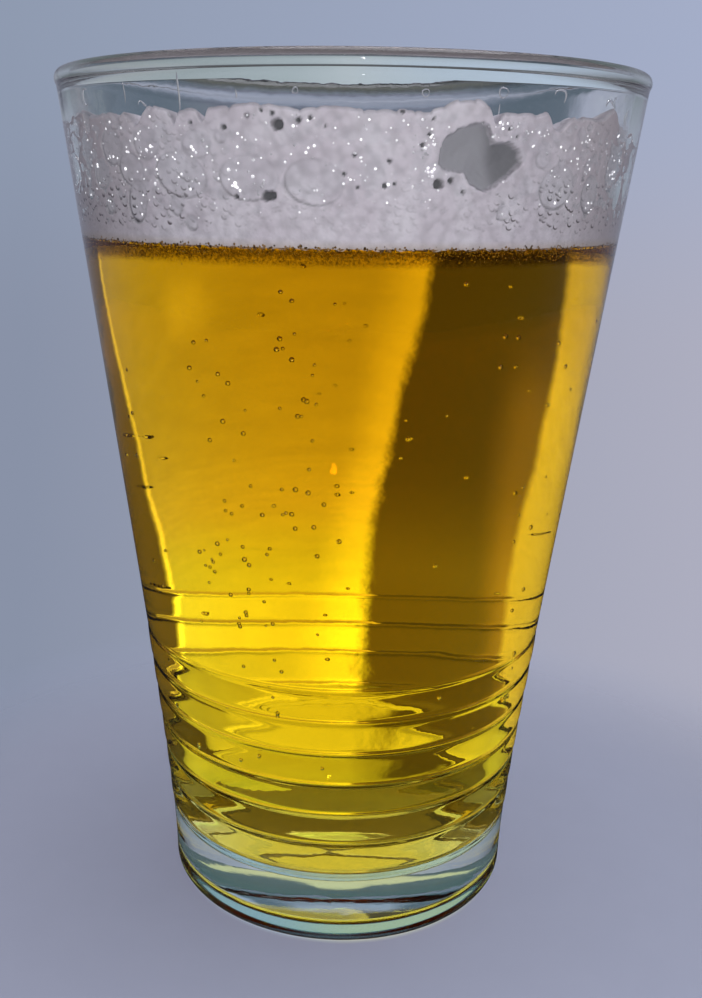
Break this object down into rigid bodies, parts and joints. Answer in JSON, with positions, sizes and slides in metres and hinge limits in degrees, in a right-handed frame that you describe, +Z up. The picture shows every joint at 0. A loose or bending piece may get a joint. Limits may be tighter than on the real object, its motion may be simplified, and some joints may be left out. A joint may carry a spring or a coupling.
{
  "type": "pint of beer",
  "caption": "Tall conical tumbler with shallow bands round its lower third and a thick clear base, filled with golden lager under an uneven head of foam.",
  "frame": {"origin": "middle of the foot, on the surface the glass stands on", "axes": "+Z up along the glass's axis, -Y towards the shown side, +X to the viewer's right"},
  "size_m": [0.0954, 0.0954, 0.1421],
  "materials": {
    "glass": "clear pressed glass, polished, faintly blue-green in the thick base",
    "beer": "clear golden lager with fine gas bubbles",
    "foam": "off-white beer foam, fine at the beer line and coarse with large burst bubbles higher up"
  },
  "bodies": {
    "root": {"glass": "glass", "beer": "beer", "foam": "foam"}
  },
  "joints": []
}
